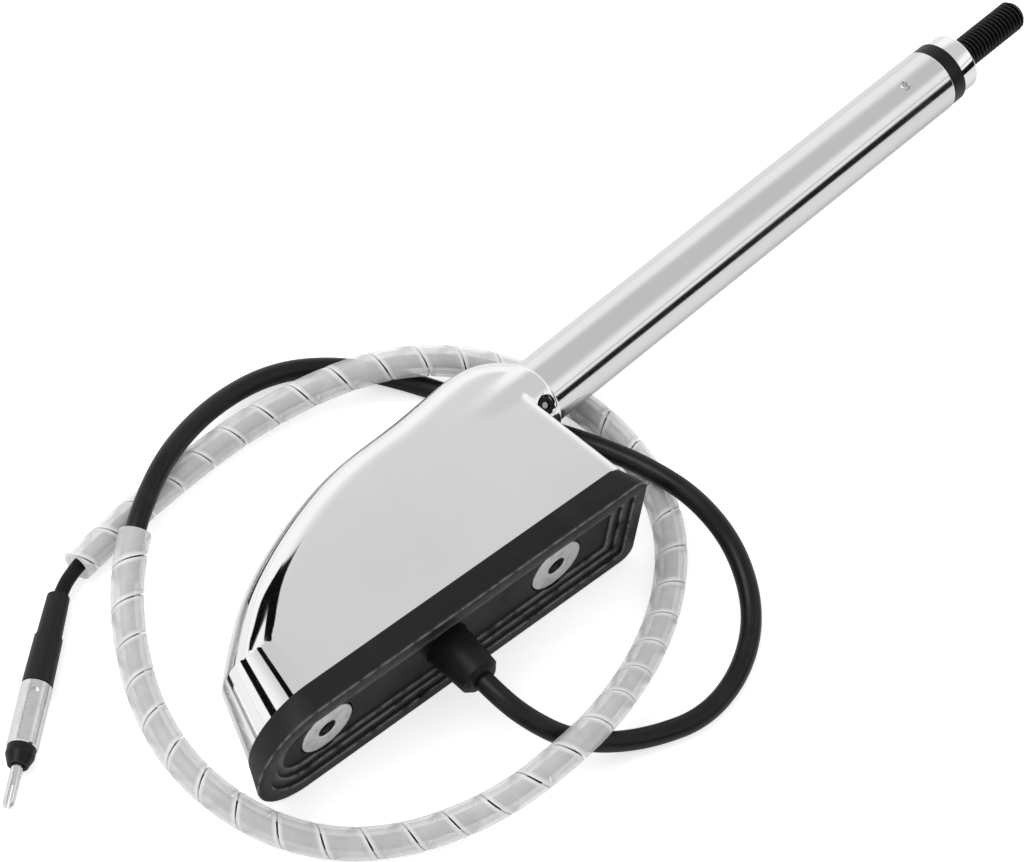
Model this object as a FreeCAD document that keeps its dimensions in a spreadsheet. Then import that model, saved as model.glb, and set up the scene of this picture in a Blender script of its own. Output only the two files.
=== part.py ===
import FreeCAD, Part
import math
import os
import Sketcher

# Chromed antenna base with a raked mast, lying on its side, in millimetres.
# +X runs from the toe of the base to the mast tip, +Y from the mounting face to the spine,
# +Z up through the flank that faces the viewer. The origin is the centre of the mounting face.
doc = FreeCAD.newDocument("antenna")
sheet = doc.addObject("Spreadsheet::Sheet", "Sizes")

sizes = {
    # rubber seat under the casting
    "rim_half_width": 20.2,
    "rim_toe_x": -50.2,
    "rim_heel_x": 73.8,
    "crest_toe_x": -46.8,
    "crest_heel_x": 71.6,
    "rim_corner": 5.0,
    "least_corner": 1.2,
    "rim_height": 9.0,
    "rim_draft": 0.8,
    "step_one_inset": 5.0,
    "step_one_depth": 1.1,
    "step_two_inset": 8.2,
    "step_two_depth": 2.1,
    "step_floor_inset": 11.0,
    "step_floor_depth": 2.9,
    "opening_spare": 1.0,
    # casting: flanks lean in, the spine is a row of stations seen from a point on the seat
    "seat_half_width": 19.2,
    "flank_draft": 10.9,
    "fan_x": 40.0,
    "fan_start": 12.0,
    "toe_reach": 106.0,
    "crease_reach": 100.2,
    "brow_reach": 93.1,
    "nose_reach": 87.1,
    "slope_reach": 79.5,
    "back_reach": 70.5,
    "shoulder_reach": 63.4,
    "saddle_reach": 58.2,
    "hump_reach": 60.9,
    "crown_reach": 65.6,
    "nape_reach": 64.5,
    "heel_x": 70.0,
    "heel_block_front": 20.0,
    "heel_block_top": 45.0,
    "heel_spare": 5.0,
    "heel_round": 1.6,
    "wall": 4.0,
    "bay_front": 20.0,
    "bay_back": 63.0,
    "bay_half_width": 12.0,
    "bay_depth": 23.0,
    # fixing bosses
    "boss_spacing": 86.0,
    "boss_radius": 9.0,
    "boss_face": 2.6,
    "boss_roof": 64.4,
    "boss_roof_fall": 0.8,
    "boss_root": 0.8,
    "boss_gap": 0.5,
    "tap_radius": 2.5,
    "tap_depth": 16.0,
    # mast, measured along its axis from the point above the origin
    "mast_height": 44.8,
    "mast_lean": 4.0,
    "socket_inner": 44.0,
    "socket_bend": 68.0,
    "socket_end": 78.0,
    "socket_root": 10.9,
    "socket_radius": 11.6,
    "socket_lip_round": 1.0,
    "tube_radius": 10.3,
    "tube_bore": 8.6,
    "tube_bore_step": 6.0,
    "tube_end": 256.4,
    "spigot_radius": 8.8,
    "spigot_bore": 6.8,
    "spigot_start": 58.0,
    "slip": 0.3,
    "lead_hole_radius": 5.0,
    "lead_hole_start": -5.0,
    # grub screw that locks the mast in its socket
    "grub_back": 4.5,
    "grub_radius": 2.7,
    "grub_inner": 8.9,
    "grub_outer": 11.0,
    "grub_point": 0.8,
    "grub_hex": 1.5,
    "grub_hex_depth": 1.4,
    "side_drill": 20.0,
    # insulated head of the mast
    "bush_spigot_length": 18.4,
    "bush_ring_length": 5.0,
    "bush_ring_radius": 10.1,
    "collar_radius": 9.3,
    "collar_length": 6.8,
    "collar_chamfer": 0.5,
    "stud_radius": 5.0,
    "stud_shank": 4.6,
    "stud_tail": 4.0,
    "stud_length": 29.1,
    "stud_chamfer": 1.1,
    "nut_length": 8.0,
    "nut_flat_radius": 6.9,
    "head_screw_back": 15.2,
    "head_screw_shank": 1.4,
    "head_screw_head": 1.9,
    "head_screw_rise": 0.5,
    "head_screw_inner": 6.6,
    "head_screw_seat": 0.2,
    "head_screw_dome": 0.4,
    "head_screw_crown": 0.6,
    "terminal_radius": 3.2,
    "terminal_neck": 2.4,
    "terminal_flange": 1.5,
    "terminal_length": 6.0,
    # lead inside the base and the mast
    "lead_radius": 1.5,
    "lead_bend": 14.0,
    # grommet at the middle of the seat
    "gland_x": 1.3,
    "gland_root": 7.0,
    "gland_tip": 6.3,
    "gland_drop": 12.5,
    "gland_chamfer": 1.5,
    "gland_flange": 9.2,
    "gland_flange_length": 2.5,
    # cable, its loose wrap and the thin tail to the plug
    "cable_radius": 3.1,
    "tail_radius": 2.1,
    "wrap_radius": 4.75,
    "wrap_bore": 3.7,
    # plug, measured along its axis from the back of the sleeves
    "plug_x": -70.0,
    "plug_y": 87.2,
    "plug_z": -15.6,
    "plug_turn": 219.66,
    "sleeve_back": -3.0,
    "sleeve_step": 11.0,
    "sleeve_front": 27.0,
    "sleeve_rear_small": 3.3,
    "sleeve_rear_large": 3.7,
    "sleeve_front_small": 4.1,
    "sleeve_front_large": 4.45,
    "ferrule_start": 5.2,
    "ferrule_radius": 2.2,
    "barrel_radius": 4.5,
    "barrel_bore": 3.5,
    "barrel_length": 20.5,
    "barrel_chamfer": 0.4,
    "barrel_floor": 13.0,
    "dimple_radius": 1.2,
    "dimple_depth": 0.8,
    "dimple_station": 4.0,
    "nose_length": 5.7,
    "nose_shoulder": 2.6,
    "nose_back": 4.2,
    "nose_front": 3.0,
    "nose_spigot": 6.5,
    "pin_radius": 1.7,
    "pin_tip": 66.9,
    "pin_root": 42.5,
    "pin_taper": 1.4,
    "pin_nib": 0.4,
    "pin_nib_radius": 1.1,
    "pin_end_radius": 0.5,
    "pin_slot_width": 0.6,
    "pin_slot_length": 8.5,
    "through": 8.0,
}

# spine stations: angle up from the toe in degrees, and the name of the reach from the fan point
toe_stations = ((0.0, "toe"), (12.3, "crease"))
spine_stations = (
    (12.3, "crease"),
    (18.8, "brow"),
    (25.3, "nose"),
    (34.0, "slope"),
    (46.8, "back"),
    (62.3, "shoulder"),
    (83.6, "saddle"),
    (101.9, "hump"),
    (117.0, "crown"),
    (132.0, "nape"),
)
hollow_stations = ((0.0, "toe"), (12.3, "crease"), (25.3, "nose"), (46.8, "back"))

row = 0
for alias, value in sizes.items():
    row += 1
    sheet.set("A%d" % row, alias.replace("_", " "))
    sheet.set("B%d" % row, repr(value))
    sheet.setAlias("B%d" % row, alias)
doc.recompute()


def size(alias):
    return float(sheet.get(alias))


def cell(alias):
    return "Sizes." + alias


def new_body(label):
    body = doc.addObject("PartDesign::Body", label)
    body.Label = label
    return body


def plane_of(body, role):
    for feature in body.Origin.OriginFeatures:
        if feature.Role == role:
            return feature
    raise ValueError("no plane " + role)


def new_sketch(body, label, role, along=None, spin=None):
    sketch = doc.addObject("Sketcher::SketchObject", label)
    body.addObject(sketch)
    sketch.AttachmentSupport = [(plane_of(body, role), "")]
    sketch.MapMode = "FlatFace"
    base = {"x": "0", "y": "0", "z": "0"}
    base.update(along or {})
    turn = FreeCAD.Rotation()
    if spin:
        turn = FreeCAD.Rotation(FreeCAD.Vector(*spin[0]), 1)
    sketch.AttachmentOffset = FreeCAD.Placement(FreeCAD.Vector(0, 0, 0), turn)
    for axis, text in base.items():
        if text != "0":
            sketch.setExpression("AttachmentOffset.Base." + axis, text)
    if spin:
        sketch.setExpression("AttachmentOffset.Rotation.Angle", spin[1])
    doc.recompute()
    return sketch


def bind(sketch, kind, where, text):
    value = sketch.evalExpression(text)
    value = float(getattr(value, "Value", value))
    index = sketch.addConstraint(Sketcher.Constraint(kind, *where, value))
    sketch.setExpression("Constraints[%d]" % index, text)


def fix_point(sketch, edge, end, across, up):
    bind(sketch, "DistanceX", (-1, 1, edge, end), across)
    bind(sketch, "DistanceY", (-1, 1, edge, end), up)


def polygon(sketch, corners):
    spots = []
    for across, up in corners:
        pair = [sketch.evalExpression(text) for text in (across, up)]
        pair = [float(getattr(value, "Value", value)) for value in pair]
        spots.append(FreeCAD.Vector(pair[0], pair[1], 0))
    first = sketch.GeometryCount
    count = len(spots)
    for index in range(count):
        line = Part.LineSegment(spots[index], spots[(index + 1) % count])
        sketch.addGeometry(line, False)
    for index in range(count):
        after = first + (index + 1) % count
        sketch.addConstraint(Sketcher.Constraint("Coincident", first + index, 2, after, 1))
    for index, (across, up) in enumerate(corners):
        fix_point(sketch, first + index, 1, across, up)


def ring(sketch, across, up, radius):
    value = sketch.evalExpression(radius)
    value = float(getattr(value, "Value", value))
    circle = Part.Circle(FreeCAD.Vector(0, 0, 0), FreeCAD.Vector(0, 0, 1), value)
    edge = sketch.addGeometry(circle, False)
    bind(sketch, "Radius", (edge,), radius)
    fix_point(sketch, edge, 3, across, up)


def feature(body, kind, label, sketch, **settings):
    made = doc.addObject("PartDesign::" + kind, label)
    body.addObject(made)
    made.Profile = sketch
    for name, value in settings.items():
        if isinstance(value, str) and name not in ("Type", "SideType"):
            made.setExpression(name, value)
        else:
            setattr(made, name, value)
    body.Tip = made
    doc.recompute()
    return made


def loft(body, kind, label, sections, ruled):
    made = doc.addObject("PartDesign::" + kind, label)
    body.addObject(made)
    made.Profile = sections[0]
    made.Sections = sections[1:]
    made.Ruled = ruled
    body.Tip = made
    doc.recompute()
    return made


def turned(label, corners):
    # a turned piece: half profile of distance along the axis and radius, spun about local X
    body = new_body(label)
    sketch = new_sketch(body, label + "_profile", "XY_Plane")
    polygon(sketch, corners)
    spun = doc.addObject("PartDesign::Revolution", label + "_turned")
    body.addObject(spun)
    spun.Profile = sketch
    spun.ReferenceAxis = (sketch, ["H_Axis"])
    spun.Angle = 360
    body.Tip = spun
    doc.recompute()
    return body


def fan_section(body, label, angle, reach, half_width):
    # two leaning flanks closed by one round arch, in a plane through the fan point
    offset = {"x": cell("fan_x"), "z": "-" + cell("rim_height")}
    sketch = new_sketch(body, label, "XZ_Plane", offset, ((0, 1, 0), "%r" % (180.0 - angle)))
    lean = "(sin(%r)*tan(%s))" % (angle, cell("flank_draft"))
    arch = "((%s-%s*(%s))/(sqrt(1+%s^2)-%s))" % (half_width, lean, reach, lean, lean)
    start = cell("fan_start")
    near = "(%s-%s*%s)" % (half_width, lean, start)
    values = []
    for text in (lean, arch, reach, near):
        value = sketch.evalExpression(text)
        values.append(float(getattr(value, "Value", value)))
    slope, radius, crest, side = values
    tilt = math.atan(slope)
    middle = FreeCAD.Vector(crest - radius, 0, 0)
    touch = FreeCAD.Vector(middle.x + radius * math.sin(tilt), radius * math.cos(tilt), 0)
    low = FreeCAD.Vector(touch.x, -touch.y, 0)
    near_over = FreeCAD.Vector(size("fan_start"), side, 0)
    near_under = FreeCAD.Vector(size("fan_start"), -side, 0)
    base = sketch.addGeometry(Part.LineSegment(near_over, near_under))
    under = sketch.addGeometry(Part.LineSegment(near_under, low))
    bow = sketch.addGeometry(Part.Arc(low, FreeCAD.Vector(crest, 0, 0), touch))
    over = sketch.addGeometry(Part.LineSegment(touch, near_over))
    sketch.addConstraint(Sketcher.Constraint("Coincident", base, 2, under, 1))
    sketch.addConstraint(Sketcher.Constraint("Tangent", under, 2, bow, 1))
    sketch.addConstraint(Sketcher.Constraint("Tangent", bow, 2, over, 1))
    sketch.addConstraint(Sketcher.Constraint("Coincident", over, 2, base, 1))
    fix_point(sketch, base, 1, start, near)
    fix_point(sketch, base, 2, start, "-" + near)
    sketch.addConstraint(Sketcher.Constraint("PointOnObject", bow, 3, -1))
    bind(sketch, "DistanceX", (-1, 1, bow, 3), "(%s)-%s" % (reach, arch))
    bind(sketch, "Radius", (bow,), arch)
    doc.recompute()
    return sketch


def seat_outline(body, label, height, inset, edge="rim"):
    # round toe, straight sides and a heel with two rounded corners, at one height above the face
    sketch = new_sketch(body, label, "XZ_Plane", {"z": "-(%s)" % height})
    half = "(%s-%s)" % (cell("rim_half_width"), inset)
    toe = cell(edge + "_toe_x")
    heel = "(%s-%s)" % (cell(edge + "_heel_x"), inset)
    corner = "max(%s; %s-%s)" % (cell("least_corner"), cell("rim_corner"), inset)
    values = []
    for text in (half, heel, corner, toe):
        value = sketch.evalExpression(text)
        values.append(float(getattr(value, "Value", value)))
    wide, back, round_off, front = values
    square = math.pi / 2
    up = FreeCAD.Vector(0, 0, 1)

    def line(start, end):
        sketch.addGeometry(Part.LineSegment(FreeCAD.Vector(*start), FreeCAD.Vector(*end)))

    def arc(middle, radius, start, end):
        circle = Part.Circle(FreeCAD.Vector(*middle), up, radius)
        sketch.addGeometry(Part.ArcOfCircle(circle, start, end))

    line((front, -wide), (back - round_off, -wide))
    arc((back - round_off, round_off - wide), round_off, -square, 0)
    line((back, round_off - wide), (back, wide - round_off))
    arc((back - round_off, wide - round_off), round_off, 0, square)
    line((back - round_off, wide), (front, wide))
    arc((front, 0), wide, square, 3 * square)
    for edge in range(6):
        sketch.addConstraint(Sketcher.Constraint("Tangent", edge, 2, (edge + 1) % 6, 1))
    bind(sketch, "Radius", (5,), half)
    bind(sketch, "Radius", (1,), corner)
    bind(sketch, "Radius", (3,), corner)
    bind(sketch, "DistanceX", (-1, 1, 5, 3), toe)
    sketch.addConstraint(Sketcher.Constraint("PointOnObject", 5, 3, -1))
    sketch.addConstraint(Sketcher.Constraint("Horizontal", 0))
    sketch.addConstraint(Sketcher.Constraint("Vertical", 2))
    bind(sketch, "DistanceX", (-1, 1, 2, 1), heel)
    doc.recompute()
    return sketch


def hexagon(reach):
    corners = []
    for index in range(6):
        corners.append(("%s*cos(%d)" % (reach, 60 * index), "%s*sin(%d)" % (reach, 60 * index)))
    return corners


def half_boss(sign):
    return "%s%s/2" % (sign, cell("boss_spacing"))


# rubber seat: wall flared to toe and heel, three steps in its underside, holes for bosses and grommet
seat = new_body("base_gasket")
seat_low = seat_outline(seat, "seat_low", "0", "0")
seat_high = seat_outline(seat, "seat_high", cell("rim_height"), cell("rim_draft"), "crest")
loft(seat, "AdditiveLoft", "seat_block", [seat_low, seat_high], True)
for name in ("step_one", "step_two", "step_floor"):
    outline = seat_outline(seat, name + "_outline", "0", cell(name + "_inset"))
    feature(seat, "Pocket", name, outline, Length=cell(name + "_depth"))
seat_holes = new_sketch(seat, "seat_holes", "XZ_Plane")
for sign in ("", "-"):
    ring(seat_holes, half_boss(sign), "0", cell("boss_radius") + "+" + cell("boss_gap"))
ring(seat_holes, cell("gland_x"), "0", cell("gland_root") + "+" + cell("slip"))
opening_depth = cell("rim_height") + "+" + cell("opening_spare")
feature(seat, "Pocket", "seat_openings", seat_holes, Length=opening_depth)

# chromed casting
housing = new_body("base_housing")
for kind, stations, ruled in (("toe", toe_stations, True), ("spine", spine_stations, False)):
    sections = []
    for angle, name in stations:
        label = "%s_at_%s" % (kind, name)
        sections.append(fan_section(housing, label, angle, cell(name + "_reach"), cell("seat_half_width")))
    loft(housing, "AdditiveLoft", kind, sections, ruled)

block_sections = []
for index, level in enumerate((cell("rim_height"), cell("heel_block_top"))):
    rise = "(%s-%s)" % (level, cell("rim_height"))
    half = "(%s-%s*tan(%s))" % (cell("seat_half_width"), rise, cell("flank_draft"))
    sketch = new_sketch(housing, "heel_block_%d" % index, "XZ_Plane", {"z": "-" + level})
    front = cell("heel_block_front")
    back = cell("heel_x") + "+" + cell("heel_spare")
    polygon(sketch, [(front, half), (back, half), (back, "-" + half), (front, "-" + half)])
    block_sections.append(sketch)
loft(housing, "AdditiveLoft", "heel_block", block_sections, True)

# the rear is square up to the mast axis, and ends square to the mast above it
heel_cut = new_sketch(housing, "heel_cut", "XY_Plane", {"z": "-2*" + cell("seat_half_width")})
heel_far = cell("heel_x") + "+" + cell("mast_height")
heel_top = "(3*%s)" % cell("mast_height")
heel_depth = "4*" + cell("seat_half_width")
lip_x = "(%s*cos(%s))" % (cell("socket_end"), cell("mast_lean"))
lip_y = "(%s+%s*sin(%s))" % (cell("mast_height"), cell("socket_end"), cell("mast_lean"))
ledge_y = "(%s+%s*tan(%s))" % (cell("mast_height"), cell("heel_x"), cell("mast_lean"))
polygon(heel_cut, [
    (cell("heel_x"), "0"),
    (heel_far, "0"),
    (heel_far, heel_top),
    ("%s-(%s-%s)*tan(%s)" % (lip_x, heel_top, lip_y, cell("mast_lean")), heel_top),
    (lip_x, lip_y),
    (cell("heel_x"), ledge_y),
])
feature(housing, "Pocket", "heel_face", heel_cut, Length=heel_depth, Reversed=True)


def heel_edges(shape):
    names = []
    for index, edge in enumerate(shape.Edges):
        box = edge.BoundBox
        flat = abs(box.XMin - size("heel_x")) < 0.01 and abs(box.XMax - size("heel_x")) < 0.01
        if flat and box.YMax > box.YMin + 0.1:
            names.append("Edge%d" % (index + 1))
    return names


squared = housing.Tip
rounded = doc.addObject("PartDesign::Fillet", "heel_rounding")
housing.addObject(rounded)
rounded.Base = (squared, heel_edges(squared.Shape))
rounded.setExpression("Radius", cell("heel_round"))
housing.Tip = rounded
doc.recompute()

axis_offset = {"y": cell("mast_height")}
axis_spin = ((0, 0, 1), cell("mast_lean"))
socket = new_sketch(housing, "socket_profile", "XY_Plane", axis_offset, axis_spin)
polygon(socket, [
    (cell("socket_inner"), "0"),
    (cell("socket_inner"), cell("socket_root")),
    (cell("socket_bend"), cell("socket_radius")),
    (cell("socket_end") + "-" + cell("socket_lip_round"), cell("socket_radius")),
    (cell("socket_end"), cell("socket_radius") + "-" + cell("socket_lip_round")),
    (cell("socket_end"), "0"),
])
feature(housing, "Revolution", "socket", socket, ReferenceAxis=(socket, ["H_Axis"]), Angle=360)

hollow_sections = []
for angle, name in hollow_stations:
    inside = "(%s-%s)" % (cell(name + "_reach"), cell("wall"))
    half = "(%s-%s)" % (cell("seat_half_width"), cell("wall"))
    hollow_sections.append(fan_section(housing, "hollow_at_" + name, angle, inside, half))
loft(housing, "SubtractiveLoft", "hollow", hollow_sections, True)
bay = new_sketch(housing, "bay_outline", "XZ_Plane", {"z": "-" + cell("rim_height")})
bay_half = cell("bay_half_width")
polygon(bay, [
    (cell("bay_front"), bay_half),
    (cell("bay_back"), bay_half),
    (cell("bay_back"), "-" + bay_half),
    (cell("bay_front"), "-" + bay_half),
])
feature(housing, "Pocket", "bay", bay, Length=cell("bay_depth"))

# the front boss runs up into the sloping roof, the rear one into the roof of the bay
front_length = "%s-%s*%s/2" % (cell("boss_roof"), cell("boss_roof_fall"), cell("boss_spacing"))
rear_length = "+".join([cell("rim_height"), cell("bay_depth"), cell("boss_root")]) + "-" + cell("boss_face")
taps = new_sketch(housing, "tap_outline", "XZ_Plane", {"z": "-" + cell("boss_face")})
for label, sign, length in (("front_boss", "-", front_length), ("rear_boss", "", rear_length)):
    boss = new_sketch(housing, label + "_outline", "XZ_Plane", {"z": "-" + cell("boss_face")})
    ring(boss, half_boss(sign), "0", cell("boss_radius"))
    feature(housing, "Pad", label, boss, Length=length, Reversed=True)
    ring(taps, half_boss(sign), "0", cell("tap_radius"))
feature(housing, "Pocket", "tapped_holes", taps, Length=cell("tap_depth"))

bore = new_sketch(housing, "bore_profile", "XY_Plane", axis_offset, axis_spin)
bore_wall = cell("spigot_radius") + "+" + cell("slip")
polygon(bore, [
    (cell("lead_hole_start"), "0"),
    (cell("lead_hole_start"), cell("lead_hole_radius")),
    (cell("spigot_start") + "-" + cell("slip"), cell("lead_hole_radius")),
    (cell("spigot_start") + "-" + cell("slip"), bore_wall),
    (cell("socket_end") + "+" + cell("heel_spare"), bore_wall),
    (cell("socket_end") + "+" + cell("heel_spare"), "0"),
])
feature(housing, "Groove", "mast_bore", bore, ReferenceAxis=(bore, ["H_Axis"]), Angle=360)

lean = math.radians(size("mast_lean"))
mast_axis = FreeCAD.Vector(math.cos(lean), math.sin(lean), 0)
mast_root = FreeCAD.Vector(0, size("mast_height"), 0)
mast_place = FreeCAD.Placement(mast_root, FreeCAD.Rotation(FreeCAD.Vector(0, 0, 1), size("mast_lean")))
# the grub screw points half way between the mounting side and the viewer's side
grub_out = FreeCAD.Vector(0, -math.sqrt(0.5), math.sqrt(0.5))
grub_spin = FreeCAD.Rotation(FreeCAD.Vector(1, 0, 0), grub_out)
grub_local = FreeCAD.Placement(FreeCAD.Vector(size("socket_end") - size("grub_back"), 0, 0), grub_spin)
grub_place = mast_place.multiply(grub_local)
upright = FreeCAD.Placement(FreeCAD.Vector(0, 0, 0), FreeCAD.Rotation(FreeCAD.Vector(0, 1, 0), 90))

grub_hole = doc.addObject("PartDesign::SubtractiveCylinder", "grub_hole")
housing.addObject(grub_hole)
grub_hole.setExpression("Radius", cell("grub_radius") + "+" + cell("slip"))
grub_hole.setExpression("Height", cell("side_drill"))
grub_hole.Placement = grub_place.multiply(upright)
housing.Tip = grub_hole
doc.recompute()


def on_mast(body):
    body.Placement = mast_place


# mast tube with a turned-down end in the socket
bore_start = "(%s+%s)" % (cell("socket_end"), cell("tube_bore_step"))
tube = turned("mast_tube", [
    (cell("spigot_start"), cell("spigot_bore")),
    (cell("spigot_start"), cell("spigot_radius")),
    (cell("socket_end"), cell("spigot_radius")),
    (cell("socket_end"), cell("tube_radius")),
    (cell("tube_end"), cell("tube_radius")),
    (cell("tube_end"), cell("tube_bore")),
    (bore_start, cell("tube_bore")),
    (bore_start, cell("spigot_bore")),
])
# the head screw sits on the viewer's side of the tube
head_spin = FreeCAD.Rotation(FreeCAD.Vector(1, 0, 0), FreeCAD.Vector(0, -0.03, 1))
head_station = size("tube_end") - size("head_screw_back")
head_local = FreeCAD.Placement(FreeCAD.Vector(head_station, 0, 0), head_spin)


def side_hole(body, label, radius):
    hole = doc.addObject("PartDesign::SubtractiveCylinder", label)
    body.addObject(hole)
    hole.setExpression("Radius", radius)
    hole.setExpression("Height", cell("side_drill"))
    hole.Placement = head_local.multiply(upright)
    body.Tip = hole
    doc.recompute()


side_hole(tube, "tube_side_hole", cell("head_screw_head") + "+" + cell("slip"))
on_mast(tube)

# the bush, the nut behind it, the collar and the stud all follow the end of the tube
bush_start = "(%s-%s)" % (cell("tube_end"), cell("bush_spigot_length"))
nut_back = "(%s-%s)" % (bush_start, cell("nut_length"))
stud_start = "(%s-%s)" % (nut_back, cell("stud_tail"))
ring_end = "(%s+%s)" % (cell("tube_end"), cell("bush_ring_length"))
collar_end = "(%s+%s)" % (ring_end, cell("collar_length"))
stud_tip = "(%s+%s)" % (collar_end, cell("stud_length"))
stud_hole = cell("stud_shank") + "+" + cell("slip")
bush = turned("insulator_bush", [
    (bush_start, stud_hole),
    (bush_start, cell("tube_bore") + "-" + cell("slip")),
    (cell("tube_end"), cell("tube_bore") + "-" + cell("slip")),
    (cell("tube_end"), cell("bush_ring_radius")),
    (ring_end, cell("bush_ring_radius")),
    (ring_end, stud_hole),
])
side_hole(bush, "bush_side_hole", cell("head_screw_shank") + "+" + cell("slip"))
on_mast(bush)

bevel = cell("collar_chamfer")
collar = turned("top_collar", [
    (ring_end, stud_hole),
    (ring_end, cell("collar_radius")),
    (collar_end + "-" + bevel, cell("collar_radius")),
    (collar_end, cell("collar_radius") + "-" + bevel),
    (collar_end, stud_hole),
])
on_mast(collar)

stud = turned("whip_stud", [
    (stud_start, "0"),
    (stud_start, cell("stud_shank")),
    (collar_end, cell("stud_shank")),
    (collar_end, cell("stud_radius")),
    (stud_tip + "-" + cell("stud_chamfer"), cell("stud_radius")),
    (stud_tip, cell("stud_radius") + "-" + cell("stud_chamfer")),
    (stud_tip, "0"),
])
on_mast(stud)

nut = new_body("stud_nut")
nut_sketch = new_sketch(nut, "nut_outline", "YZ_Plane", {"z": nut_back})
polygon(nut_sketch, hexagon(cell("nut_flat_radius") + "/cos(30)"))
ring(nut_sketch, "0", "0", stud_hole)
feature(nut, "Pad", "nut_block", nut_sketch, Length=cell("nut_length"))
on_mast(nut)

terminal = turned("stud_terminal", [
    (stud_start + "-" + cell("terminal_length"), "0"),
    (stud_start + "-" + cell("terminal_length"), cell("terminal_neck")),
    (stud_start + "-" + cell("terminal_flange"), cell("terminal_neck")),
    (stud_start + "-" + cell("terminal_flange"), cell("terminal_radius")),
    (stud_start, cell("terminal_radius")),
    (stud_start, "0"),
])
on_mast(terminal)

grub = turned("mast_grub_screw", [
    (cell("grub_inner"), "0"),
    (cell("grub_inner"), cell("grub_radius") + "-" + cell("grub_point")),
    (cell("grub_inner") + "+" + cell("grub_point"), cell("grub_radius")),
    (cell("grub_outer"), cell("grub_radius")),
    (cell("grub_outer"), "0"),
])
key = new_sketch(grub, "grub_key", "YZ_Plane", {"z": cell("grub_outer")})
polygon(key, hexagon(cell("grub_hex")))
feature(grub, "Pocket", "grub_socket", key, Length=cell("grub_hex_depth"))
grub.Placement = grub_place

head_top = "(%s+%s)" % (cell("tube_radius"), cell("head_screw_rise"))
head_base = cell("tube_bore") + "+" + cell("head_screw_seat")
head_screw = turned("mast_head_screw", [
    (cell("head_screw_inner"), "0"),
    (cell("head_screw_inner"), cell("head_screw_shank")),
    (head_base, cell("head_screw_shank")),
    (head_base, cell("head_screw_head")),
    (head_top + "-" + cell("head_screw_dome"), cell("head_screw_head")),
    (head_top, cell("head_screw_head") + "-" + cell("head_screw_crown")),
    (head_top, "0"),
])
head_screw.Placement = mast_place.multiply(head_local)

# grommet: turned about an axis square to the mounting face, inner end up
gland = turned("cable_gland", [
    ("-" + cell("gland_drop"), "0"),
    ("-" + cell("gland_drop"), cell("gland_tip") + "-" + cell("gland_chamfer")),
    ("-" + cell("gland_drop") + "+" + cell("gland_chamfer"), cell("gland_tip")),
    ("0", cell("gland_root")),
    (cell("rim_height"), cell("gland_root")),
    (cell("rim_height"), cell("gland_flange")),
    (cell("rim_height") + "+" + cell("gland_flange_length"), cell("gland_flange")),
    (cell("rim_height") + "+" + cell("gland_flange_length"), "0"),
])
gland.Placement = FreeCAD.Placement(
    FreeCAD.Vector(size("gland_x"), 0, 0), FreeCAD.Rotation(FreeCAD.Vector(0, 0, 1), 90))


# plug pieces share one axis
plug_root = FreeCAD.Vector(size("plug_x"), size("plug_y"), size("plug_z"))
plug_turn = FreeCAD.Rotation(FreeCAD.Vector(0, 0, 1), size("plug_turn"))
plug_place = FreeCAD.Placement(plug_root, plug_turn)
tail_hole = cell("tail_radius") + "+" + cell("slip")
ferrule_hole = cell("ferrule_radius") + "+" + cell("slip")
sleeve_rear = turned("sleeve_rear", [
    (cell("sleeve_back"), tail_hole),
    (cell("sleeve_back"), cell("sleeve_rear_small")),
    (cell("sleeve_step"), cell("sleeve_rear_large")),
    (cell("sleeve_step"), ferrule_hole),
    (cell("ferrule_start"), ferrule_hole),
    (cell("ferrule_start"), tail_hole),
])
sleeve_front = turned("sleeve_front", [
    (cell("sleeve_step"), ferrule_hole),
    (cell("sleeve_step"), cell("sleeve_front_small")),
    (cell("sleeve_front"), cell("sleeve_front_large")),
    (cell("sleeve_front"), ferrule_hole),
])
barrel_end = "(%s+%s)" % (cell("sleeve_front"), cell("barrel_length"))
edge_cut = cell("barrel_chamfer")
barrel = turned("plug_barrel", [
    (cell("ferrule_start"), "0"),
    (cell("ferrule_start"), cell("ferrule_radius")),
    (cell("sleeve_front"), cell("ferrule_radius")),
    (cell("sleeve_front"), cell("barrel_radius") + "-" + edge_cut),
    (cell("sleeve_front") + "+" + edge_cut, cell("barrel_radius")),
    (barrel_end + "-" + edge_cut, cell("barrel_radius")),
    (barrel_end, cell("barrel_radius") + "-" + edge_cut),
    (barrel_end, cell("barrel_bore")),
    (cell("sleeve_front") + "+" + cell("barrel_floor"), cell("barrel_bore")),
    (cell("sleeve_front") + "+" + cell("barrel_floor"), "0"),
])
dimple_floor = cell("barrel_radius") + "-" + cell("dimple_depth")
dimple = new_sketch(barrel, "dimple_outline", "XY_Plane", {"z": dimple_floor})
ring(dimple, cell("sleeve_front") + "+" + cell("dimple_station"), "0", cell("dimple_radius"))
feature(barrel, "Pocket", "dimple", dimple, Length=cell("through"), Reversed=True)

nose_end = "(%s+%s)" % (barrel_end, cell("nose_length"))
pin_hole = cell("pin_radius") + "+" + cell("slip")
nose = turned("plug_insulator", [
    (barrel_end + "-" + cell("nose_spigot"), pin_hole),
    (barrel_end + "-" + cell("nose_spigot"), cell("barrel_bore") + "-" + cell("slip")),
    (barrel_end, cell("barrel_bore") + "-" + cell("slip")),
    (barrel_end, cell("nose_back")),
    (barrel_end + "+" + cell("nose_shoulder"), cell("nose_back")),
    (nose_end, cell("nose_front")),
    (nose_end, pin_hole),
])
pin = turned("plug_pin", [
    (cell("pin_root"), "0"),
    (cell("pin_root"), cell("pin_radius")),
    (cell("pin_tip") + "-" + cell("pin_taper"), cell("pin_radius")),
    (cell("pin_tip") + "-" + cell("pin_nib"), cell("pin_nib_radius")),
    (cell("pin_tip"), cell("pin_end_radius")),
    (cell("pin_tip"), "0"),
])
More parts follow.
